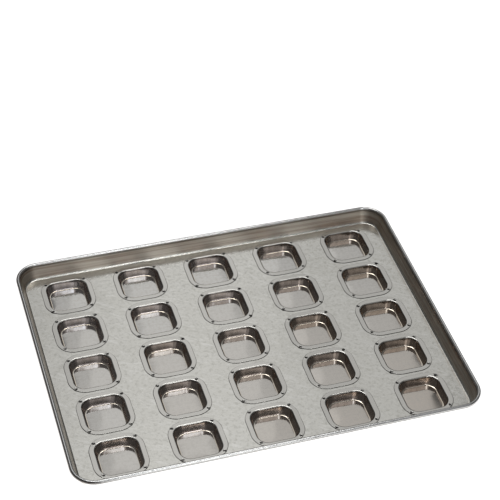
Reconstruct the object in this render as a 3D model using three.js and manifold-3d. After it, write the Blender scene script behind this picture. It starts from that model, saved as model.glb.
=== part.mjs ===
// A baking pan of pressed sheet steel. Its rim is rolled outward round a stiffening wire, and shallow
// rounded-square mould cups hang through cut-outs in its floor, held by their spot-welded flanges.
// Millimetres, +Z up. The origin is under the middle of the pan, level with the undersides of the cups.

import * as THREE from 'three';
import { mergeVertices } from 'three/addons/utils/BufferGeometryUtils.js';
import Module from 'manifold-3d';

const wasm = await Module();
wasm.setup();

// Mould cups
const columns = 5;
const rows = 5;
const cupSheet = 0.6; // thickness of the metal
const cupDepth = 12.4; // top of the flange to the floor inside
const mouthAcross = 57.6; // where the flat flange ends and the shoulder begins
const mouthCornerRadius = 15.3;
const shoulderRadius = 1.3; // bend from the flange down into the cup
const cupWallLean = 0.2; // run inward for each unit of depth
const floorBevelRun = 1.2; // bend between the wall and the cup's floor
const floorBevelRise = 1;
const flangeWidth = 5.7;
const flangeCornerRadius = 23;
const weldDiameter = 4; // dimples that the welding electrode leaves in the flange
const weldDepth = 0.25;

// Places of the cups in the pan
const columnGap = 31; // bare sheet between two flanges, along X
const rowGap = 5; // bare sheet between two flanges, along Y
const endFlat = 18.4; // bare sheet from the last flange to the bend of the wall, along X
const sideFlat = 4.9; // the same along Y
const cutClearance = 0.4; // between a cup and its cut-out

// Pan
const panSheet = 0.8; // thickness of the metal
const rimHeight = 22; // top of the sheet to the top of the bead
const wallLean = 0.32; // run outward for each unit of height
const footRadius = 2.3; // inside bend between the sheet and the wall
const panCornerRadius = 32; // over the bead
const beadDiameter = 5;
const curlGap = 0.45; // between the rolled edge and the wall behind it
const wireClearance = 0.25; // round the wire, inside the bead

// Flats that stand for each round stretch
const cupCornerSteps = 3;
const shoulderSteps = 2;
const panCornerSteps = 6;
const footSteps = 3;
const curlSteps = 10;
const wireSides = 8;
const weldSides = 6;

// Sizes that follow from those above
const mouthHalf = mouthAcross / 2;
const flangeHalf = mouthHalf + flangeWidth;
const columnPitch = 2 * flangeHalf + columnGap;
const rowPitch = 2 * flangeHalf + rowGap;
const flatHalfX = (columns - 1) * columnPitch / 2 + flangeHalf + endFlat;
const flatHalfY = (rows - 1) * rowPitch / 2 + flangeHalf + sideFlat;
const leanAngle = Math.atan(wallLean);
const beadRadius = beadDiameter / 2;
const wireRadius = beadRadius - panSheet - wireClearance;

// Outline of a rectangle with round corners, anticlockwise
function roundedRectangle(halfX, halfY, radius, steps) {
  const corners = [[1, 1], [-1, 1], [-1, -1], [1, -1]];
  return corners.flatMap(([signX, signY], quarter) => {
    const centre = new THREE.Vector2(signX * (halfX - radius), signY * (halfY - radius));
    const start = quarter * Math.PI / 2;
    return arc(centre, radius, start, start + Math.PI / 2, steps);
  });
}

// Points along an arc, both ends included
function arc(centre, radius, from, to, steps) {
  return Array.from({ length: steps + 1 }, (_, step) => {
    const angle = from + (to - from) * step / steps;
    return new THREE.Vector2(
      centre.x + radius * Math.cos(angle),
      centre.y + radius * Math.sin(angle),
    );
  });
}

// The lower face of a sheet: each point of its upper face's profile, moved to the right of the way
// along it. The profile starts at the edge of a flat floor, where the way to move is straight down.
function lowerFace(profile, thickness) {
  const down = new THREE.Vector2(0, -1);
  const sideways = profile.slice(1).map((point, index) => {
    const along = point.clone().sub(profile[index]).normalize();
    return new THREE.Vector2(along.y, -along.x);
  });
  return profile.map((point, index) => {
    const before = index > 0 ? sideways[index - 1] : down;
    const after = sideways[Math.min(index, sideways.length - 1)];
    const move = before.clone().add(after).multiplyScalar(thickness / (1 + before.dot(after)));
    return point.clone().add(move);
  });
}

// Skin through rings of equally many points. A looped skin joins its last ring to its first,
// and any other has a flat cap in its first ring, facing up, and one in its last, facing down.
function skin(rings, looped) {
  const count = rings[0].length;
  const triangles = [];
  const bands = looped ? rings.length : rings.length - 1;
  for (let band = 0; band < bands; band += 1) {
    const near = band * count;
    const far = ((band + 1) % rings.length) * count;
    for (let point = 0; point < count; point += 1) {
      const next = (point + 1) % count;
      triangles.push(near + point, far + point, far + next);
      triangles.push(near + point, far + next, near + next);
    }
  }
  if (!looped) {
    const last = (rings.length - 1) * count;
    const cap = (ring) => THREE.ShapeUtils.triangulateShape(ring, []);
    cap(rings[0]).forEach(([a, b, c]) => triangles.push(a, b, c));
    cap(rings[rings.length - 1]).forEach(([a, b, c]) => triangles.push(last + c, last + b, last + a));
  }
  const geometry = new THREE.BufferGeometry().setFromPoints(rings.flat());
  geometry.setIndex(triangles);
  geometry.computeVertexNormals();
  return geometry;
}

// One ring for each point of a section: the section's x picks the outline and its y is the height
function ringsOf(section, outlineAt) {
  return section.map(({ x, y }) => outlineAt(x).map((point) => new THREE.Vector3(point.x, point.y, y)));
}

// A pressed sheet whose upper face follows the profile, from the edge of its flat floor outward
function pressedSheet(profile, thickness, outlineAt) {
  const section = [...profile, ...lowerFace(profile, thickness).reverse()];
  return skin(ringsOf(section, outlineAt), false);
}

function toSolid(geometry) {
  const bare = geometry.clone();
  bare.deleteAttribute('normal');
  bare.deleteAttribute('uv');
  const merged = mergeVertices(bare);
  return new wasm.Manifold(new wasm.Mesh({
    numProp: 3,
    vertProperties: Float32Array.from(merged.attributes.position.array),
    triVerts: Uint32Array.from(merged.index.array),
  }));
}

function toGeometry(solid) {
  const { vertProperties, triVerts } = solid.getMesh();
  const geometry = new THREE.BufferGeometry();
  geometry.setAttribute('position', new THREE.BufferAttribute(vertProperties, 3));
  geometry.setIndex(new THREE.BufferAttribute(triVerts, 1));
  geometry.computeVertexNormals();
  return geometry;
}

function cutAway(geometry, cutters) {
  const cut = cutters.reduce((solid, cutter) => solid.subtract(toSolid(cutter)), toSolid(geometry));
  return toGeometry(cut);
}

// Middle of each cup on the pan, from the back row to the front one and from left to right
function cupPlaces() {
  const places = [];
  for (let row = 0; row < rows; row += 1) {
    for (let column = 0; column < columns; column += 1) {
      places.push({
        name: `mould_cup_r${row + 1}_c${column + 1}`,
        x: (column - (columns - 1) / 2) * columnPitch,
        y: ((rows - 1) / 2 - row) * rowPitch,
      });
    }
  }
  return places;
}

// Mould cup, with its flange's underside at zero height
function cupProfile() {
  const flangeTop = cupSheet;
  const shoulderCentre = new THREE.Vector2(mouthHalf, flangeTop - shoulderRadius);
  const wallAngle = Math.PI - Math.atan(cupWallLean);
  const shoulder = arc(shoulderCentre, shoulderRadius, wallAngle, Math.PI / 2, shoulderSteps);
  const wallTop = shoulder[0];
  const bevelTop = new THREE.Vector2(0, flangeTop - cupDepth + floorBevelRise);
  bevelTop.x = wallTop.x - cupWallLean * (wallTop.y - bevelTop.y);
  const floorEdge = new THREE.Vector2(bevelTop.x - floorBevelRun, flangeTop - cupDepth);
  const flangeEdge = new THREE.Vector2(flangeHalf, flangeTop);
  return [floorEdge, bevelTop, ...shoulder, flangeEdge];
}

// Below the mouth the corners narrow with the cup, and the flange's edge has corners of its own
function cupOutline(half) {
  const onFlangeEdge = half > mouthHalf + flangeWidth / 2;
  const radius = onFlangeEdge ? flangeCornerRadius : mouthCornerRadius * half / mouthHalf;
  return roundedRectangle(half, half, radius, cupCornerSteps);
}

// How far the middle of a rounded corner lies from the middle of its square, along X and along Y
function cornerReach(half, radius) {
  return half - radius * (1 - Math.SQRT1_2);
}

// Dimple of a spot weld in each corner of the flange, midway between its two edges. A cone cuts it: its tip
// points down, and its middle, which has the dimple's diameter, is level with the top of the flange.
function weldDimples() {
  const innerReach = cornerReach(mouthHalf, mouthCornerRadius);
  const outerReach = cornerReach(flangeHalf, flangeCornerRadius);
  const weldPlace = (innerReach + outerReach) / 2;
  const corners = [[1, 1], [-1, 1], [-1, -1], [1, -1]];
  return corners.map(([signX, signY]) => {
    const cone = new THREE.ConeGeometry(weldDiameter, 2 * weldDepth, weldSides);
    cone.rotateX(-Math.PI / 2);
    return cone.translate(signX * weldPlace, signY * weldPlace, cupSheet);
  });
}

function cupGeometry() {
  return cutAway(pressedSheet(cupProfile(), cupSheet, cupOutline), weldDimples());
}

// Pan, with the top of its sheet at zero height. Profiles run outward from the edge of the flat sheet.
function panEdge() {
  const bendRun = footRadius * Math.tan((Math.PI / 2 - leanAngle) / 2);
  const beadHeight = rimHeight - beadRadius;
  const wallTopHeight = beadHeight + beadRadius * Math.sin(leanAngle);
  const wallTopRun = bendRun + wallLean * wallTopHeight;
  const beadCentre = new THREE.Vector2(wallTopRun + beadRadius * Math.cos(leanAngle), beadHeight);
  return { beadCentre, overhang: beadCentre.x + beadRadius };
}

function panProfile() {
  const { beadCentre } = panEdge();
  const curlStart = Math.PI - leanAngle;
  const curlSweep = 2 * Math.PI - Math.acos(1 - (panSheet + curlGap) / beadRadius);
  const footCentre = new THREE.Vector2(0, footRadius);
  return [
    ...arc(footCentre, footRadius, -Math.PI / 2, -leanAngle, footSteps),
    ...arc(beadCentre, beadRadius, curlStart, curlStart - curlSweep, curlSteps),
  ];
}

function panOutline(run) {
  const radius = panCornerRadius - panEdge().overhang + run;
  return roundedRectangle(flatHalfX + run, flatHalfY + run, radius, panCornerSteps);
}

// Hole in the sheet for one cup
function cutOut({ x, y }) {
  const half = mouthHalf + cutClearance;
  const outline = roundedRectangle(half, half, mouthCornerRadius + cutClearance, cupCornerSteps);
  const overshoot = panSheet;
  const depth = panSheet + 2 * overshoot;
  const prism = new THREE.ExtrudeGeometry(new THREE.Shape(outline), { depth, bevelEnabled: false });
  return prism.translate(x, y, -panSheet - overshoot);
}

function panGeometry() {
  return cutAway(pressedSheet(panProfile(), panSheet, panOutline), cupPlaces().map(cutOut));
}

// Wire in the middle of the bead, all the way round the rim
function wireGeometry() {
  const { beadCentre } = panEdge();
  const section = arc(beadCentre, wireRadius, 2 * Math.PI, 0, wireSides).slice(1);
  return skin(ringsOf(section, panOutline), true);
}

function piece(name, geometry, color, roughness) {
  const material = new THREE.MeshStandardMaterial({ color, roughness, metalness: 1 });
  const mesh = new THREE.Mesh(geometry, material);
  mesh.name = name;
  return mesh;
}

function cups() {
  const group = new THREE.Group();
  const geometry = cupGeometry();
  cupPlaces().forEach(({ name, x, y }) => {
    const cup = piece(name, geometry, 0xa39d95, 0.25);
    cup.position.set(x, y, 0);
    group.add(cup);
  });
  return group;
}

const mouldPan = new THREE.Group();
mouldPan.position.z = cupDepth;
mouldPan.add(piece('pan_sheet', panGeometry(), 0xb3b1aa, 0.28));
mouldPan.add(piece('rim_wire', wireGeometry(), 0x8c8f92, 0.4));
mouldPan.add(cups());

export default mouldPan;
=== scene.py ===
import math

import bmesh
import bpy
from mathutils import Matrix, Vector
from mathutils.geometry import delaunay_2d_cdt


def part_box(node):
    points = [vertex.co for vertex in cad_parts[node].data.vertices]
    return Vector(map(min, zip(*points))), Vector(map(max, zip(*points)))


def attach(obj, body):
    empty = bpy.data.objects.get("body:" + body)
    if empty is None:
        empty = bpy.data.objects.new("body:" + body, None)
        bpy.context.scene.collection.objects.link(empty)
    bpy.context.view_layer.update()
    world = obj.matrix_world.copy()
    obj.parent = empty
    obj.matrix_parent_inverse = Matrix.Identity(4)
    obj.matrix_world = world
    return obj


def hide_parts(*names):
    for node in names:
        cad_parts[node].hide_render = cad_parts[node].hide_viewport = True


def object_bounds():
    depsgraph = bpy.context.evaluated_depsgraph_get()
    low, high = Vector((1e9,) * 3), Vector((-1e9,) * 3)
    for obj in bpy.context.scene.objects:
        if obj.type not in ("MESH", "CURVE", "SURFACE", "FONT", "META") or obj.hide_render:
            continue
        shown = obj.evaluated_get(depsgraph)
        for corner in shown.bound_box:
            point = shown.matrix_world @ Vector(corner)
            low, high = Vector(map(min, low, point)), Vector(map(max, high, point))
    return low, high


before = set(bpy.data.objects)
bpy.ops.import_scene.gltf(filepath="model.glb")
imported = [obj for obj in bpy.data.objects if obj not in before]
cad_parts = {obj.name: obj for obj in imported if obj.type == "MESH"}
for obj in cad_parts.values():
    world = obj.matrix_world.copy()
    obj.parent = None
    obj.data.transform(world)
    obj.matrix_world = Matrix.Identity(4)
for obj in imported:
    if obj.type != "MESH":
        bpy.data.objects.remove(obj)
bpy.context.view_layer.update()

# Sizes are in millimetres, and this factor turns them into metres
MM = 0.001

# Mould cup, with the top of its flange at zero height
CUP_SHEET = 0.6
CUP_DEPTH = 12.4
MOUTH_HALF = 28.8  # where the flat flange ends and the shoulder begins
MOUTH_CORNER = 15.3
SHOULDER_RADIUS = 1.8
CUP_WALL_LEAN = 0.2  # run inward for each unit of depth
FLOOR_RADIUS = 2.2  # bend between the floor and the wall
FLOOR_CROWN = 1.0  # how much higher the middle of the floor is than its edge
FLANGE_HALF = 34.5
FLANGE_CORNER = 23.0
EDGE_RADIUS = 0.2  # worn edges of the flange

# Spot welds
WELD_PLACE = 26.1  # from the middle of the cup, along X and along Y
WELD_STRAY = 1.0  # how far a weld may lie from its place
WELD_RADIUS = 2.0
WELD_DEPTH = 0.25
# Painted shade makes the back weld marks darker than the front ones
BACK_WELD_BURN_AND_SHADE = 1.0  # how dark the marks burnt
FRONT_WELD_HEAT = 0.8
LIP_HEIGHT = 0.06  # metal that the electrode pushed up round the dimple
LIP_PLACE = 1.12  # in weld radii, as are the next three
LIP_WIDTH = 0.12
BURN_REACH = 1.25
WELD_RINGS = [0.35, 0.65, 0.85, 0.95, 1.0, 1.06, 1.12, 1.2, 1.35]

# Pan, with the top of its sheet at zero height
PAN_SHEET = 0.8
FLAT_HALF_X = 252.9  # where the flat sheet ends and the bend at the foot begins
FLAT_HALF_Y = 187.4
RIM_HEIGHT = 22.0
WALL_LEAN = 0.32  # run outward for each unit of height
FOOT_RADIUS = 2.3
PAN_CORNER = 32.0  # over the bead
BEAD_RADIUS = 2.5
CURL_GAP = 0.45  # between the end of the curl and the wall
CUT_CLEARANCE = 0.4  # between a cup's mouth and its cut-out

# Grid of the cups
COLUMNS = 5
ROWS = 5
COLUMN_PITCH = 100.0
ROW_PITCH = 74.0

# Smoothness
CUP_CORNER_STEPS = 12
PAN_CORNER_STEPS = 24
BEND_STEPS = 6
CROWN_STEPS = 8
EDGE_STEPS = 3
FOOT_STEPS = 10
CURL_STEPS = 40
WELD_SIDES = 20
SUPPORT = 0.15  # width of the flat strip that keeps a bend's shading off the flat next to it
SHARP_ANGLE = math.radians(40)
JOIN_DISTANCE = 0.001  # points closer than this become one
CUT_TOLERANCE = 1e-5
HULL_TRIANGLES = 0  # asks for all triangles inside the outermost points

CORNER_SIGNS = [(1, 1), (-1, 1), (-1, -1), (1, -1)]  # anticlockwise from the back right

# Tones of the cups, which follow their places in the grid
TONE_LEFT = 0.3  # how much of the change from back to front the left column shows
TONE_SCATTER = 0.12
TONE_STEP = 3.7  # from one cup's seed to the next
WARMTH_LEFT = 0.2
WARMTH_RISE = 0.55  # from the left column to the right one
WARMTH_SCATTER = 0.25
WARMTH_STEP = 5.3
WARMTH_START = 2
SCATTER_STRETCH = 12.9898  # this and the next number throw neighbouring seeds far apart
SCATTER_GAIN = 43758.5453

# Colours
SHEET_GREY = (0.83, 0.82, 0.77, 1)
SHEET_CLOUD = (0.76, 0.745, 0.69, 1)
SHEET_FLECK = (0.61, 0.60, 0.55, 1)
SHEET_SCUFF = (0.93, 0.92, 0.88, 1)
WALL_OLIVE = (0.84, 0.785, 0.70, 1)
WALL_BROWN = (0.55, 0.455, 0.38, 1)
# Painted highlight: the bright outside along the front
OUTSIDE_FRONT_HIGHLIGHT = (0.97, 0.97, 0.96, 1)
OUTSIDE_DULL = (0.5, 0.485, 0.45, 1)
BEAD_GREY = (0.82, 0.82, 0.81, 1)
CUP_FLANGE = (0.72, 0.705, 0.665, 1)
CUP_FLOOR = (0.735, 0.722, 0.69, 1)
CUP_FLOOR_WARM = (0.69, 0.635, 0.57, 1)
CUP_FLOOR_LINE = (0.60, 0.575, 0.54, 1)
# Painted shade: the dark outsides of the cups, under the pan
CUP_OUTSIDE_SHADE = (0.42, 0.385, 0.36, 1)
DRAWN_PURPLE = (0.65, 0.60, 0.615, 1)
DRAWN_BROWN = (0.64, 0.53, 0.445, 1)
DRAWN_STREAK = (0.38, 0.32, 0.28, 1)
# Painted highlight: bright cream on the bend between each cup's floor and wall
BEND_HIGHLIGHT_CREAM = (0.9, 0.8, 0.66, 1)
BURNT = (0.012, 0.011, 0.011, 1)
# Painted shade for the flange's cut edge and for the gap round it on the sheet
FLANGE_SHADE = (0.06, 0.055, 0.05, 1)
# Painted shade for the crease under the bead, the bead's outer side and a band below each cup's shoulder
PAINTED_SHADE = (0.085, 0.07, 0.06, 1)
WIRE_DARK = (0.42, 0.42, 0.43, 1)
WIRE_PALE = (0.55, 0.55, 0.56, 1)
STAGE_GREY = (0.88, 0.88, 0.88, 1)
STAGE_WHITE = (0.92, 0.92, 0.92, 1)

# Grain: how fine each pattern is along X, Y and Z, for each metre
SHEET_CLOUDS = (13, 13, 13)
SHEET_FLECKS = (230, 230, 230)
SHEET_SCUFFS = (45, 170, 45)
SCUFF_TURN = 35  # degrees
SHEET_WAVES = (55, 55, 55)
GAP_PATCHES = (45, 45, 45)
WALL_LINES = (7, 7, 480)
WALL_STAINS = (9, 9, 30)
CUP_STREAKS = (430, 430, 25)
CUP_PATCHES = (60, 60, 60)
FLOOR_LINES = (35, 520, 35)
FLOOR_MOTTLE = (260, 260, 260)
WIRE_GRAIN = (300, 300, 300)
STAGE_SPECKLE = (60, 60, 60)

# Zones, from where each starts to where it is full, and of some also where they fade and end
DOWNWARD = (-0.05, -0.2)  # upward part of the normal
BEAD_INSIDE = (-0.5, -1.5)  # run outward from the middle of the bead, as are the next two
BEAD_OUTSIDE = (0.8, 1.8)
BEAD_BACK_EDGE = (-0.6, 0.1)
BEAD_TOP = (RIM_HEIGHT - 3, RIM_HEIGHT - 1.5)  # height above the sheet, as are the next four
BEAD_UNDERSIDE = (RIM_HEIGHT - 1.6, RIM_HEIGHT - 2.6)
WALL_BAND = (1.0, 3.0, RIM_HEIGHT - 3, RIM_HEIGHT - 1)
CREASE_BAND = (RIM_HEIGHT - 5, RIM_HEIGHT - 4, RIM_HEIGHT - 2.4, RIM_HEIGHT - 1.6)
SHEET_TOP = (0.2, 0.05)
LEFT_END = (-0.82 * FLAT_HALF_X, -0.98 * FLAT_HALF_X)
BACK_END = (0.9 * FLAT_HALF_Y, 0.98 * FLAT_HALF_Y)
FRONT_HIGHLIGHT_END = (-0.94 * FLAT_HALF_Y, -FLAT_HALF_Y)
FLANGE_GAP = (0.7, 0.3)  # run outward from the flange's edge
FLANGE_BAND = (-1.2, -0.5)  # height above the flange's top, as is the next
SHOULDER_SHADE_BAND = (-3.0, -2.2, -0.5, -0.2)
BEND_BAND = [-share * FLOOR_RADIUS for share in (0.9, 0.765, 0.45, 0.15)]  # run past the floor's corner
CUP_WALL = BEND_BAND[2:]
BURN_SPAN = (0.1, 0.55)  # how burnt the metal is
GRAIN_SPAN = (0.3, 0.7)  # part of a pattern's range over which the gloss changes
PATCH_SPAN = (0.35, 0.65)

# How much of the painted shade shows, and how dark the weld marks get
CREASE_SHADE_SHARE = 0.6
BEAD_SHADE_SHARE = 0.9
BACK_EDGE_SHADE_SHARE = 0.9
SHOULDER_SHADE_SHARE = 0.5
GAP_LEAST = 0.35
BURN_MOST = 0.95

# Gloss
SHEET_ROUGHNESS = (0.16, 0.22)
WALL_ROUGHNESS = 0.34
WAVE_STRENGTH = 0.2
WAVE_HEIGHT = 1.0
CUP_ROUGHNESS = 0.1
FLOOR_EDGE_ROUGHNESS = 0.13
WIRE_ROUGHNESS = (0.35, 0.5)
STAGE_ROUGHNESS = 0.9
STAGE_GLOW = 0.9

# Stage, in metres and degrees
STAGE_HALF = 6.0
LIGHT_DISTANCE = 3.0
KEY_BLUE = (0.76, 0.9, 1.0)
CAMERA_SENSOR = 36.0  # millimetres, as is the lens
CAMERA_LENS = 114.47
CAMERA_PLACE = (-0.4673, -1.4080)
CAMERA_HEIGHT = 1.4851  # above the flanges
CAMERA_TURN = (48.2926, -1.9601, -16.8440)

# Greys of the studio by how far up one looks, from 0 at the horizon to 1 straight up
STUDIO_LOW = (0.08, 0.079, 0.077, 1)
STUDIO_BANDS = ((0.4, 0.1), (0.55, 0.07), (0.72, 0.1))
STUDIO_TOP = 0.98
STUDIO_TOP_GREY = 0.13


# Outlines and profiles

def arc(centre, radius, first, last, steps):
    angles = [first + (last - first) * step / steps for step in range(steps + 1)]
    return [centre + radius * Vector((math.cos(angle), math.sin(angle))) for angle in angles]


def rounded_rectangle(half_x, half_y, radius, steps):
    """Outline of a rectangle with round corners, anticlockwise, with support points on its sides."""
    points = []
    for quarter, (sign_x, sign_y) in enumerate(CORNER_SIGNS):
        centre = Vector((sign_x * (half_x - radius), sign_y * (half_y - radius)))
        start = quarter * math.pi / 2
        corner = arc(centre, radius, start, start + math.pi / 2, steps)
        before = Vector((math.sin(start), -math.cos(start))) * SUPPORT
        after = Vector((-math.cos(start), -math.sin(start))) * SUPPORT
        points += [corner[0] + before, *corner, corner[-1] + after]
    return points


def bend(corners, steps):
    """Points along a bent line. Each corner is a place and the radius of its bend, or no radius."""
    points = []
    for index, (corner, radius) in enumerate(corners):
        if not radius:
            points.append(corner)
            continue
        back = (corners[index - 1][0] - corner).normalized()
        ahead = (corners[index + 1][0] - corner).normalized()
        half_angle = back.angle(ahead) / 2
        reach = radius / math.tan(half_angle)
        centre = corner + (back + ahead).normalized() * (radius / math.sin(half_angle))
        start = corner + back * reach - centre
        end = corner + ahead * reach - centre
        points.append(centre + start + back * SUPPORT)
        points += [centre + radius * start.slerp(end, step / steps) for step in range(steps + 1)]
        points.append(centre + end + ahead * SUPPORT)
    return points


def lower_face(profile, thickness):
    """The other face of a sheet: the profile moved to the right of the way along it."""
    sideways = []
    for first, second in zip(profile, profile[1:]):
        along = (second - first).normalized()
        sideways.append(Vector((along.y, -along.x)))
    moved = []
    for index, point in enumerate(profile):
        before = sideways[max(index - 1, 0)]
        after = sideways[min(index, len(sideways) - 1)]
        moved.append(point + (before + after) * (thickness / (1 + before.dot(after))))
    return moved


def depth_inside(place, half, radius):
    """How far inside a rounded square round the origin a place near its edge lies."""
    away = Vector((max(abs(place.x) - half + radius, 0), max(abs(place.y) - half + radius, 0)))
    return radius - away.length


def scatter(seed):
    """A repeatable number from -1 to 1 that looks random."""
    return math.modf(math.sin(seed * SCATTER_STRETCH) * SCATTER_GAIN)[0]


# Mesh making

class Shell:
    """Collects points and faces of one mesh, in millimetres."""

    def __init__(self):
        self.points = []
        self.faces = []

    def add_face(self, face, up):
        self.faces.append(face if up else face[::-1])

    def ring(self, outline, height):
        first = len(self.points)
        self.points += [Vector((point.x, point.y, height)) for point in outline]
        return list(range(first, len(self.points)))

    def band(self, inner, outer, up=True):
        """Faces between two rings. Seen from above the outer one goes round the inner one."""
        count = len(inner)
        for index in range(count):
            after = (index + 1) % count
            self.add_face([inner[index], outer[index], outer[after], inner[after]], up)

    def sweep(self, profile, outline_at, up=True):
        """Bands along a profile, whose points are a distance for the outline, and a height."""
        rings = [self.ring(outline_at(point.x), point.y) for point in profile]
        for inner, outer in zip(rings, rings[1:]):
            self.band(inner, outer, up)
        return rings

    def plate(self, outlines, spots, height_at, keep, up=True):
        """Sheet inside the outlines, with extra points, cut into triangles. keep tells which stay."""
        flat = []
        edges = []
        for outline in outlines:
            first = len(flat)
            flat += outline
            count = len(outline)
            edges += [(first + index, first + (index + 1) % count) for index in range(count)]
        flat += spots
        places, _, triangles, *_ = delaunay_2d_cdt(flat, edges, [], HULL_TRIANGLES, CUT_TOLERANCE)
        base = len(self.points)
        self.points += [Vector((place.x, place.y, height_at(place))) for place in places]
        for triangle in triangles:
            middle = sum((places[index] for index in triangle), Vector((0, 0))) / 3
            if keep(middle):
                self.add_face([base + index for index in triangle], up)

    def mesh(self, name):
        mesh = bpy.data.meshes.new(name)
        mesh.from_pydata([point * MM for point in self.points], [], self.faces)
        join_seams(mesh)
        mesh.shade_smooth()
        mesh.set_sharp_from_angle(angle=SHARP_ANGLE)
        return mesh


def join_seams(mesh):
    build = bmesh.new()
    build.from_mesh(mesh)
    bmesh.ops.remove_doubles(build, verts=build.verts, dist=JOIN_DISTANCE * MM)
    loose = [vert for vert in build.verts if not vert.link_faces]
    bmesh.ops.delete(build, geom=loose, context="VERTS")
    build.to_mesh(mesh)
    build.free()


# Mould cup

def shoulder_half():
    """Where the lines of the wall and of the flange would meet if the shoulder were sharp."""
    turn = math.pi / 2 - math.atan(CUP_WALL_LEAN)
    return MOUTH_HALF - SHOULDER_RADIUS * math.tan(turn / 2)


def floor_half():
    """Where the lines of the wall and of the floor would meet if the floor's bend were sharp."""
    return shoulder_half() - CUP_WALL_LEAN * CUP_DEPTH


def floor_corner_radius():
    return floor_half() * MOUTH_CORNER / MOUTH_HALF


def cup_profile():
    """Inside of the cup, from the middle of its floor to its flange: distance out, and height."""
    shoulder = Vector((shoulder_half(), 0))
    floor_corner = Vector((floor_half(), -CUP_DEPTH))
    flange_start = Vector((MOUTH_HALF + 2 * SUPPORT, 0))
    crown_half = floor_corner.x - FLOOR_RADIUS - SUPPORT
    floor = []
    for step in range(1, CROWN_STEPS + 1):
        out = crown_half * step / CROWN_STEPS
        rise = FLOOR_CROWN * (1 - (out / floor_corner.x) ** 2)
        floor.append((Vector((out, rise - CUP_DEPTH)), 0))
    corners = floor + [(floor_corner, FLOOR_RADIUS), (shoulder, SHOULDER_RADIUS), (flange_start, 0)]
    return bend(corners, BEND_STEPS)


def cup_outline(half):
    """The cup from above at some distance out: round in the middle of the floor, square at the wall."""
    squareness = min(half / floor_half(), 1) ** 2
    corner_share = 1 + (MOUTH_CORNER / MOUTH_HALF - 1) * squareness
    radius = min(half * corner_share, half - 2 * SUPPORT)
    return rounded_rectangle(half, half, radius, CUP_CORNER_STEPS)


def flange_outline(inset):
    half = FLANGE_HALF - inset
    return rounded_rectangle(half, half, FLANGE_CORNER - inset, CUP_CORNER_STEPS)


def flange_edge():
    """The flange's worn edge, from its top to its underside: distance in from the edge, and height."""
    upper = [Vector((EDGE_RADIUS + SUPPORT, 0))]
    for point in arc(Vector((0, 0)), EDGE_RADIUS, math.pi / 2, 0, EDGE_STEPS):
        upper.append(Vector((EDGE_RADIUS - point.x, point.y - EDGE_RADIUS)))
    lower = [Vector((point.x, -CUP_SHEET - point.y)) for point in reversed(upper)]
    return upper + lower


def weld_places(seed):
    places = []
    for index, (sign_x, sign_y) in enumerate(CORNER_SIGNS):
        draw = 2 * (seed * len(CORNER_SIGNS) + index)
        stray_x = WELD_STRAY * scatter(draw + 1)
        stray_y = WELD_STRAY * scatter(draw + 2)
        places.append(Vector((sign_x * WELD_PLACE + stray_x, sign_y * WELD_PLACE + stray_y)))
    return places


def weld_spots(weld):
    """Points in rings round the middle of a weld, closer together where the flange bends most."""
    last = 2 * math.pi * (WELD_SIDES - 1) / WELD_SIDES
    spots = [weld]
    for share in WELD_RINGS:
        spots += arc(weld, share * WELD_RADIUS, 0, last, WELD_SIDES - 1)
    return spots


def weld_height(distance):
    """Height of the flange at a distance from the middle of a weld: a dimple with a low lip round it."""
    share = distance / WELD_RADIUS
    dimple = -WELD_DEPTH * max(0, 1 - share ** 2) ** 0.5
    lip = LIP_HEIGHT * math.exp(-((share - LIP_PLACE) / LIP_WIDTH) ** 2)
    return dimple + lip


def flange_top(shell, mouth, welds):
    """Top of the flange, from the cup's mouth to the worn edge, with a dimple at each weld."""
    mouth_corner = MOUTH_CORNER * mouth / MOUTH_HALF
    outlines = [cup_outline(mouth), flange_outline(EDGE_RADIUS + SUPPORT)]
    spots = [spot for weld in welds for spot in weld_spots(weld)]

    def height_at(place):
        return weld_height(min((place - weld).length for weld in welds))

    def on_flange(place):
        return depth_inside(place, mouth, mouth_corner) < 0

    shell.plate(outlines, spots, height_at, on_flange)


def cup_shell(welds):
    shell = Shell()
    inside = cup_profile()
    outside = lower_face(inside, CUP_SHEET)
    inner_rings = shell.sweep(inside, cup_outline)
    shell.add_face(inner_rings[0], up=True)
    flange_top(shell, inside[-1].x, welds)
    edge_rings = shell.sweep(flange_edge(), flange_outline)
    outer_rings = shell.sweep(outside, cup_outline, up=False)
    shell.add_face(outer_rings[0], up=False)
    shell.band(outer_rings[-1], edge_rings[-1], up=False)
    return shell


def mark_burn_and_edge_shade(mesh, welds):
    """Writes how burnt each point is by the welds, and where painted shade darkens the flange's cut edge.
    """
    weld_darkening = mesh.attributes.new("weld_burn_and_shade", "FLOAT", "POINT")
    edge_shade_layer = mesh.attributes.new("edge_shade", "FLOAT", "POINT")
    for vert, burnt, edge_shaded in zip(mesh.vertices, weld_darkening.data, edge_shade_layer.data):
        place = vert.co.xy / MM
        weld = min(welds, key=lambda spot: (place - spot).length)
        share = (place - weld).length / WELD_RADIUS
        on_top = vert.co.z > -0.5 * CUP_SHEET * MM
        # The back welds' marks are burn, made darker than the front ones as painted shade
        heat = BACK_WELD_BURN_AND_SHADE if weld.y > 0 else FRONT_WELD_HEAT
        burnt.value = heat * max(0.0, BURN_REACH - share) if on_top else 0.0
        # The flange's cut edge is marked for painted shade
        edge_shaded.value = float(depth_inside(place, FLANGE_HALF, FLANGE_CORNER) < EDGE_RADIUS)


def mark_tone(cup, row, column, seed):
    """Writes how warm the cup's floor is and how brown its wall is."""
    rightward = (column - 1) / (COLUMNS - 1)
    forward = (row - 1) / (ROWS - 1)
    trend = forward * (TONE_LEFT + (1 - TONE_LEFT) * rightward)
    cup["tone"] = trend + TONE_SCATTER * scatter(seed * TONE_STEP)
    browning = WARMTH_LEFT + WARMTH_RISE * rightward
    cup["warmth"] = browning + WARMTH_SCATTER * scatter(seed * WARMTH_STEP + WARMTH_START)


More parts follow.
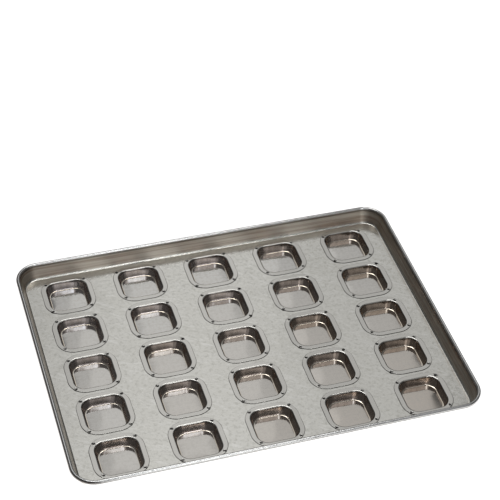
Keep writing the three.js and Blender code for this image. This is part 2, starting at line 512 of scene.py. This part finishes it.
def make_cup(row, column, material):
    node = f"mould_cup_r{row}_c{column}"
    low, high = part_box(node)
    seed = row * COLUMNS + column
    welds = weld_places(seed)
    mesh = cup_shell(welds).mesh(f"cup_r{row}_c{column}")
    mark_burn_and_edge_shade(mesh, welds)
    mesh.materials.append(material)
    cup = bpy.data.objects.new(f"cup_r{row}_c{column}", mesh)
    cup.location = ((low.x + high.x) / 2, (low.y + high.y) / 2, high.z)
    mark_tone(cup, row, column, seed)
    bpy.context.scene.collection.objects.link(cup)
    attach(cup, "root")
    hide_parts(node)


# Pan

def pan_profile():
    """Inside of the pan's edge, from the flat sheet up the wall and round the bead: run out, and height."""
    lean = math.atan(WALL_LEAN)
    bend_run = FOOT_RADIUS * math.tan((math.pi / 2 - lean) / 2)
    bead_height = RIM_HEIGHT - BEAD_RADIUS
    top_height = bead_height + BEAD_RADIUS * math.sin(lean)
    top_run = bend_run + WALL_LEAN * top_height
    bead_centre = Vector((top_run + BEAD_RADIUS * math.cos(lean), bead_height))
    sweep = 2 * math.pi - math.acos(1 - (PAN_SHEET + CURL_GAP) / BEAD_RADIUS)
    foot = arc(Vector((0, FOOT_RADIUS)), FOOT_RADIUS, -math.pi / 2, -lean, FOOT_STEPS)
    curl = arc(bead_centre, BEAD_RADIUS, math.pi - lean, math.pi - lean - sweep, CURL_STEPS)
    rise = Vector((WALL_LEAN, 1)).normalized() * SUPPORT
    return [Vector((-SUPPORT, 0)), *foot, foot[-1] + rise, curl[0] - rise, *curl]


def pan_overhang():
    """How far the bead reaches past the end of the flat sheet."""
    return max(point.x for point in pan_profile())


def pan_outline(run):
    """The pan seen from above at some run out from the end of the flat sheet."""
    corner = PAN_CORNER - pan_overhang() + run
    return rounded_rectangle(FLAT_HALF_X + run, FLAT_HALF_Y + run, corner, PAN_CORNER_STEPS)


def cup_centres():
    centres = []
    for row in range(1, ROWS + 1):
        for column in range(1, COLUMNS + 1):
            low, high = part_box(f"mould_cup_r{row}_c{column}")
            centres.append(((low + high) / 2).xy / MM)
    return centres


def pan_shell():
    shell = Shell()
    inside = pan_profile()
    outside = lower_face(inside, PAN_SHEET)
    shell.sweep(inside + outside[::-1], pan_outline)

    centres = cup_centres()
    half = MOUTH_HALF + CUT_CLEARANCE
    corner = MOUTH_CORNER + CUT_CLEARANCE
    cut_out = rounded_rectangle(half, half, corner, CUP_CORNER_STEPS)
    holes = [[point + centre for point in cut_out] for centre in centres]

    def on_sheet(place):
        return all(depth_inside(place - centre, half, corner) < 0 for centre in centres)

    outlines = [pan_outline(-SUPPORT)] + holes
    shell.plate(outlines, [], lambda place: 0.0, on_sheet)
    shell.plate(outlines, [], lambda place: -PAN_SHEET, on_sheet, up=False)
    for hole in holes:
        shell.band(shell.ring(hole, -PAN_SHEET), shell.ring(hole, 0.0))
    return shell


def make_pan(material):
    low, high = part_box("pan_sheet")
    mesh = pan_shell().mesh("pan")
    mesh.materials.append(material)
    pan = bpy.data.objects.new("pan", mesh)
    pan.location = ((low.x + high.x) / 2, (low.y + high.y) / 2, low.z + PAN_SHEET * MM)
    bpy.context.scene.collection.objects.link(pan)
    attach(pan, "root")
    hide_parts("pan_sheet")


# Materials

class Nodes:
    """Makes the nodes of one material and links them."""

    def __init__(self, name):
        self.material = bpy.data.materials.new(name)
        self.material.use_nodes = True
        self.tree = self.material.node_tree
        self.shader = self.tree.nodes["Principled BSDF"]

    def connect(self, value, socket):
        """Links a socket to the one that feeds it, or sets its number or colour."""
        if isinstance(value, bpy.types.NodeSocket):
            self.tree.links.new(value, socket)
        else:
            socket.default_value = value

    def add(self, kind, values=None, **settings):
        node = self.tree.nodes.new("ShaderNode" + kind)
        for key, value in settings.items():
            setattr(node, key, value)
        for key, value in (values or {}).items():
            self.connect(value, node.inputs[key])
        return node

    def feed(self, name, value):
        self.connect(value, self.shader.inputs[name])

    def maths(self, operation, first, second):
        return self.add("Math", {0: first, 1: second}, operation=operation).outputs["Value"]

    def vector(self, operation, *values):
        return self.add("VectorMath", dict(enumerate(values)), operation=operation).outputs["Vector"]

    def mix(self, share, first, second):
        """Mix of two colours. Its sockets share their names with others, so they go by number."""
        return self.add("Mix", {0: share, 6: first, 7: second}, data_type="RGBA").outputs[2]

    def ramp(self, source, low, high, first, last):
        values = {"Value": source, "From Min": low, "From Max": high, "To Min": first, "To Max": last}
        return self.add("MapRange", values).outputs["Result"]

    def fade(self, source, start, full, most=1.0):
        """Nothing at the start, and the most from where it is full."""
        return self.ramp(source, start, full, 0.0, most)

    def between(self, source, start, full, fading, end):
        """One from full to fading, nothing before the start or after the end."""
        return self.maths("MULTIPLY", self.fade(source, start, full), self.fade(source, end, fading))

    def tag(self, name, kind="GEOMETRY"):
        return self.add("Attribute", attribute_name=name, attribute_type=kind).outputs["Fac"]

    def place(self):
        """Place on the piece, in millimetres from its origin."""
        coords = self.add("TexCoord").outputs["Object"]
        return self.vector("DIVIDE", coords, (MM, MM, MM))

    def axis(self, name):
        return self.add("SeparateXYZ", {"Vector": self.place()}).outputs[name]

    def past_outline(self, where, half_x, half_y, corner):
        """How far a place lies outside a rounded rectangle, seen from above. It is negative inside."""
        flat = self.vector("MULTIPLY", where, (1, 1, 0))
        away = self.vector("SUBTRACT", self.vector("ABSOLUTE", flat), (half_x - corner, half_y - corner, 0))
        beyond = self.vector("MAXIMUM", away, (0, 0, 0))
        length = self.add("VectorMath", {0: beyond}, operation="LENGTH").outputs["Value"]
        return self.maths("SUBTRACT", length, corner)

    def facing_down(self):
        normal = self.add("NewGeometry").outputs["Normal"]
        upward = self.add("SeparateXYZ", {"Vector": normal}).outputs["Z"]
        return self.fade(upward, *DOWNWARD)

    def noise(self, pattern, detail=3.0, distortion=0.0, turn=0):
        """Noise as fine as the pattern says, turned about Z by some degrees."""
        coords = self.add("TexCoord").outputs["Object"]
        values = {"Vector": coords, "Angle": math.radians(turn)}
        turned = self.add("VectorRotate", values, rotation_type="Z_AXIS").outputs["Vector"]
        where = self.vector("MULTIPLY", turned, pattern)
        values = {"Vector": where, "Scale": 1.0, "Detail": detail, "Distortion": distortion}
        return self.add("TexNoise", values).outputs["Fac"]

    def grain(self, base, colour, pattern, start, full, most=1.0, **settings):
        """Mixes a colour into the base where the noise of a pattern goes from start to full."""
        share = self.fade(self.noise(pattern, **settings), start, full, most)
        return self.mix(share, base, colour)


def flange_gap_shade(nodes):
    """Painted shade on the sheet in the gap round each flange, found from the grid that the cups stand in.
    """
    half_x = COLUMN_PITCH / 2
    half_y = ROW_PITCH / 2
    cell = nodes.vector("WRAP", nodes.place(), (half_x, half_y, 1), (-half_x, -half_y, -1))
    past_flange = nodes.past_outline(cell, FLANGE_HALF, FLANGE_HALF, FLANGE_CORNER)
    near = nodes.fade(past_flange, *FLANGE_GAP)
    on_sheet = nodes.fade(nodes.axis("Z"), *SHEET_TOP)
    patchy = nodes.ramp(nodes.noise(GAP_PATCHES, detail=2), *PATCH_SPAN, GAP_LEAST, 1.0)
    return nodes.maths("MULTIPLY", patchy, nodes.maths("MULTIPLY", near, on_sheet))


def past_bead(nodes):
    """How far a place lies outside the middle of the bead, seen from above."""
    run = pan_overhang() - BEAD_RADIUS
    corner = PAN_CORNER - BEAD_RADIUS
    return nodes.past_outline(nodes.place(), FLAT_HALF_X + run, FLAT_HALF_Y + run, corner)


def bead_shade(nodes, past, height):
    """Painted shade on the outer side of the bead, below and at the left, and on its edge along the back.
    """
    outer_side = nodes.fade(past, *BEAD_OUTSIDE)
    left_end = nodes.fade(nodes.axis("X"), *LEFT_END)
    underside = nodes.fade(height, *BEAD_UNDERSIDE)
    shaded_side = nodes.maths("MULTIPLY", outer_side, nodes.maths("MAXIMUM", left_end, underside))
    back_end = nodes.fade(nodes.axis("Y"), *BACK_END)
    back_edge = nodes.fade(past, *BEAD_BACK_EDGE, most=BACK_EDGE_SHADE_SHARE)
    return nodes.maths("MAXIMUM", shaded_side, nodes.maths("MULTIPLY", back_end, back_edge))


def sheet_colour(nodes):
    """Rolled sheet: dull clouds, small dark flecks and bright scuffs that run askew."""
    clouded = nodes.grain(SHEET_GREY, SHEET_CLOUD, SHEET_CLOUDS, start=0.35, full=0.7, most=0.6, detail=4)
    flecked = nodes.grain(
        clouded, SHEET_FLECK, SHEET_FLECKS, start=0.48, full=0.72, most=0.75, distortion=0.6)
    return nodes.grain(
        flecked, SHEET_SCUFF, SHEET_SCUFFS, start=0.52, full=0.72, most=0.7,
        distortion=1.6, turn=SCUFF_TURN)


def lined_colour(nodes, colour):
    """Drawn metal with brown lines that run along the wall."""
    return nodes.grain(WALL_BROWN, colour, WALL_LINES, start=0.33, full=0.6)


def wall_colour(nodes):
    """Inside of the pan's wall: lined, and browner in places."""
    lined = lined_colour(nodes, WALL_OLIVE)
    return nodes.grain(lined, WALL_BROWN, WALL_STAINS, start=0.5, full=0.75, most=0.35, detail=2)


def outside_colour(nodes):
    """Outside of the pan: bright along the front as a painted highlight, and dull and lined elsewhere."""
    front = nodes.fade(nodes.axis("Y"), *FRONT_HIGHLIGHT_END)
    return nodes.mix(front, lined_colour(nodes, OUTSIDE_DULL), OUTSIDE_FRONT_HIGHLIGHT)


def pan_metal():
    nodes = Nodes("pan_metal")
    height = nodes.axis("Z")
    past = past_bead(nodes)
    inside = nodes.fade(past, *BEAD_INSIDE)
    wall = nodes.maths("MULTIPLY", inside, nodes.between(height, *WALL_BAND))
    # A dark band in the crease under the bead is painted shade
    crease_shade = nodes.maths("MULTIPLY", inside, nodes.between(height, *CREASE_BAND))
    bead = nodes.maths("MAXIMUM", nodes.fade(height, *BEAD_TOP), nodes.fade(past, *BEAD_OUTSIDE))

    formed = nodes.mix(wall, sheet_colour(nodes), wall_colour(nodes))
    both_sides = nodes.mix(nodes.facing_down(), formed, outside_colour(nodes))
    rolled = nodes.mix(bead, both_sides, BEAD_GREY)
    crease_shaded = nodes.mix(nodes.maths("MULTIPLY", crease_shade, CREASE_SHADE_SHARE), rolled, PAINTED_SHADE)
    # The bead's dark outer side is painted shade
    bead_shaded = nodes.mix(nodes.maths("MULTIPLY", bead_shade(nodes, past, height), BEAD_SHADE_SHARE), crease_shaded, PAINTED_SHADE)
    # The dark gap round each flange is painted shade
    nodes.feed("Base Color", nodes.mix(flange_gap_shade(nodes), bead_shaded, FLANGE_SHADE))

    waves = nodes.noise(SHEET_WAVES, detail=2)
    polished = nodes.ramp(waves, *GRAIN_SPAN, *SHEET_ROUGHNESS)
    drawn = nodes.maths("MULTIPLY", wall, WALL_ROUGHNESS)
    values = {"Strength": WAVE_STRENGTH, "Distance": WAVE_HEIGHT * MM, "Height": waves}
    nodes.feed("Metallic", 1.0)
    nodes.feed("Roughness", nodes.maths("MAXIMUM", polished, drawn))
    nodes.feed("Normal", nodes.add("Bump", values).outputs["Normal"])
    return nodes.material


def cup_wall_colour(nodes):
    """Drawn cup wall: purple or brown from heat, by the cup's warmth, with patches and upright streaks."""
    tinted = nodes.mix(nodes.tag("warmth", "OBJECT"), DRAWN_PURPLE, DRAWN_BROWN)
    patched = nodes.grain(tinted, DRAWN_BROWN, CUP_PATCHES, start=0.45, full=0.75, most=0.5, detail=2)
    return nodes.grain(patched, DRAWN_STREAK, CUP_STREAKS, start=0.42, full=0.7, most=0.5)


def cup_floor_colour(nodes):
    """Cup floor: grey or warm, by the cup's tone, mottled, with faint lines from side to side."""
    toned = nodes.mix(nodes.tag("tone", "OBJECT"), CUP_FLOOR, CUP_FLOOR_WARM)
    mottled = nodes.grain(toned, CUP_FLOOR_LINE, FLOOR_MOTTLE, start=0.45, full=0.75, most=0.5)
    return nodes.grain(mottled, CUP_FLOOR_LINE, FLOOR_LINES, start=0.45, full=0.7, most=0.25)


def cup_metal():
    nodes = Nodes("cup_metal")
    height = nodes.axis("Z")
    past_floor = nodes.past_outline(nodes.place(), floor_half(), floor_half(), floor_corner_radius())
    on_wall = nodes.fade(past_floor, *CUP_WALL)
    on_bend = nodes.between(past_floor, *BEND_BAND)
    # A band just below each cup's shoulder is darkened as painted shade
    shoulder_shade = nodes.maths("MULTIPLY", nodes.between(height, *SHOULDER_SHADE_BAND), SHOULDER_SHADE_SHARE)
    # Weld marks: burn, darker at the back welds as painted shade
    weld_darkening = nodes.fade(nodes.tag("weld_burn_and_shade"), *BURN_SPAN, most=BURN_MOST)

    formed = nodes.mix(on_wall, cup_floor_colour(nodes), cup_wall_colour(nodes))
    # The bend between floor and wall gets a bright cream as a painted highlight
    bend_highlighted = nodes.mix(on_bend, formed, BEND_HIGHLIGHT_CREAM)
    # The cups' outsides take a dark colour as painted shade
    both_sides = nodes.mix(nodes.facing_down(), bend_highlighted, CUP_OUTSIDE_SHADE)
    flanged = nodes.mix(nodes.fade(height, *FLANGE_BAND), both_sides, CUP_FLANGE)
    shoulder_shaded = nodes.mix(shoulder_shade, flanged, PAINTED_SHADE)
    # The flange's cut edge is darkened as painted shade
    edge_shaded = nodes.mix(nodes.tag("edge_shade"), shoulder_shaded, FLANGE_SHADE)
    nodes.feed("Base Color", nodes.mix(weld_darkening, edge_shaded, BURNT))

    floor_edge = -CUP_DEPTH
    crown = floor_edge + FLOOR_CROWN
    nodes.feed("Metallic", 1.0)
    nodes.feed("Roughness", nodes.ramp(height, floor_edge, crown, FLOOR_EDGE_ROUGHNESS, CUP_ROUGHNESS))
    return nodes.material


def wire_metal():
    nodes = Nodes("wire_metal")
    drawn = nodes.noise(WIRE_GRAIN, detail=2)
    nodes.feed("Base Color", nodes.mix(drawn, WIRE_DARK, WIRE_PALE))
    nodes.feed("Metallic", 1.0)
    nodes.feed("Roughness", nodes.ramp(drawn, *GRAIN_SPAN, *WIRE_ROUGHNESS))
    return nodes.material


def floor_surface():
    nodes = Nodes("floor_surface")
    speckle = nodes.noise(STAGE_SPECKLE, detail=2)
    nodes.feed("Base Color", nodes.mix(speckle, STAGE_GREY, STAGE_WHITE))
    nodes.feed("Roughness", STAGE_ROUGHNESS)
    nodes.feed("Specular IOR Level", 0.0)
    nodes.feed("Emission Color", (1, 1, 1, 1))
    nodes.feed("Emission Strength", STAGE_GLOW)
    return nodes.material


# Stage

def make_floor():
    low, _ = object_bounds()
    mesh = bpy.data.meshes.new("floor")
    corners = [(sign_x * STAGE_HALF, sign_y * STAGE_HALF, 0) for sign_x, sign_y in CORNER_SIGNS]
    mesh.from_pydata(corners, [], [(0, 1, 2, 3)])
    mesh.materials.append(floor_surface())
    floor = bpy.data.objects.new("floor", mesh)
    floor.location.z = low.z
    bpy.context.scene.collection.objects.link(floor)


def make_camera():
    _, middle_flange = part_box("mould_cup_r3_c3")
    data = bpy.data.cameras.new("camera")
    data.sensor_width = CAMERA_SENSOR
    data.lens = CAMERA_LENS
    camera = bpy.data.objects.new("camera", data)
    camera.location = (*CAMERA_PLACE, middle_flange.z + CAMERA_HEIGHT)
    camera.rotation_euler = [math.radians(angle) for angle in CAMERA_TURN]
    bpy.context.scene.collection.objects.link(camera)
    bpy.context.scene.camera = camera


def softbox(name, azimuth, elevation, width, height, radiance, colour=(1, 1, 1)):
    """A rectangular lamp that faces the pan. Azimuth is from +Y towards +X, and angles are in degrees."""
    data = bpy.data.lights.new(name, "AREA")
    data.shape = "RECTANGLE"
    data.size = 2 * LIGHT_DISTANCE * math.tan(math.radians(width / 2))
    data.size_y = 2 * LIGHT_DISTANCE * math.tan(math.radians(height / 2))
    data.energy = radiance * math.pi * data.size * data.size_y
    data.color = colour
    turn = math.radians(azimuth)
    rise = math.radians(elevation)
    toward = Vector((math.sin(turn) * math.cos(rise), math.cos(turn) * math.cos(rise), math.sin(rise)))
    lamp = bpy.data.objects.new(name, data)
    lamp.location = toward * LIGHT_DISTANCE
    lamp.rotation_euler = toward.to_track_quat("Z", "Y").to_euler()
    bpy.context.scene.collection.objects.link(lamp)


def make_lights():
    softbox("back_panel", azimuth=17.5, elevation=47, width=31, height=30, radiance=0.43)
    softbox("back_main", azimuth=13, elevation=45, width=12, height=24, radiance=0.13)
    softbox("overhead", azimuth=15, elevation=71, width=26, height=14, radiance=3.6)
    softbox(
        "front_key", azimuth=166.6, elevation=61.5, width=6.8, height=7.5, radiance=1.6, colour=KEY_BLUE)
    softbox("front_high", azimuth=156, elevation=61.5, width=50, height=14, radiance=0.5)
    softbox("front_lamp", azimuth=168, elevation=46, width=8, height=18, radiance=3.5)
    softbox("front_low", azimuth=172, elevation=12, width=18, height=28, radiance=0.4)
    softbox("front_wide", azimuth=176, elevation=14, width=70, height=30, radiance=0.25)


def make_world():
    world = bpy.data.worlds.new("studio")
    bpy.context.scene.world = world
    world.use_nodes = True
    tree = world.node_tree
    coords = tree.nodes.new("ShaderNodeTexCoord")
    split = tree.nodes.new("ShaderNodeSeparateXYZ")
    ramp = tree.nodes.new("ShaderNodeValToRGB")
    low, top = ramp.color_ramp.elements
    low.color = STUDIO_LOW
    top.position = STUDIO_TOP
    top.color = (STUDIO_TOP_GREY, STUDIO_TOP_GREY, STUDIO_TOP_GREY, 1)
    for position, grey in STUDIO_BANDS:
        ramp.color_ramp.elements.new(position).color = (grey, grey, grey, 1)
    tree.links.new(coords.outputs["Generated"], split.inputs["Vector"])
    tree.links.new(split.outputs["Z"], ramp.inputs["Fac"])
    tree.links.new(ramp.outputs["Color"], tree.nodes["Background"].inputs["Color"])


def make_model():
    make_pan(pan_metal())
    metal = cup_metal()
    for row in range(1, ROWS + 1):
        for column in range(1, COLUMNS + 1):
            make_cup(row, column, metal)
    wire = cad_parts["rim_wire"]
    wire.data.materials.clear()
    wire.data.materials.append(wire_metal())


make_camera()
make_model()
make_floor()
make_lights()
make_world()
bpy.context.scene.view_settings.view_transform = "Standard"
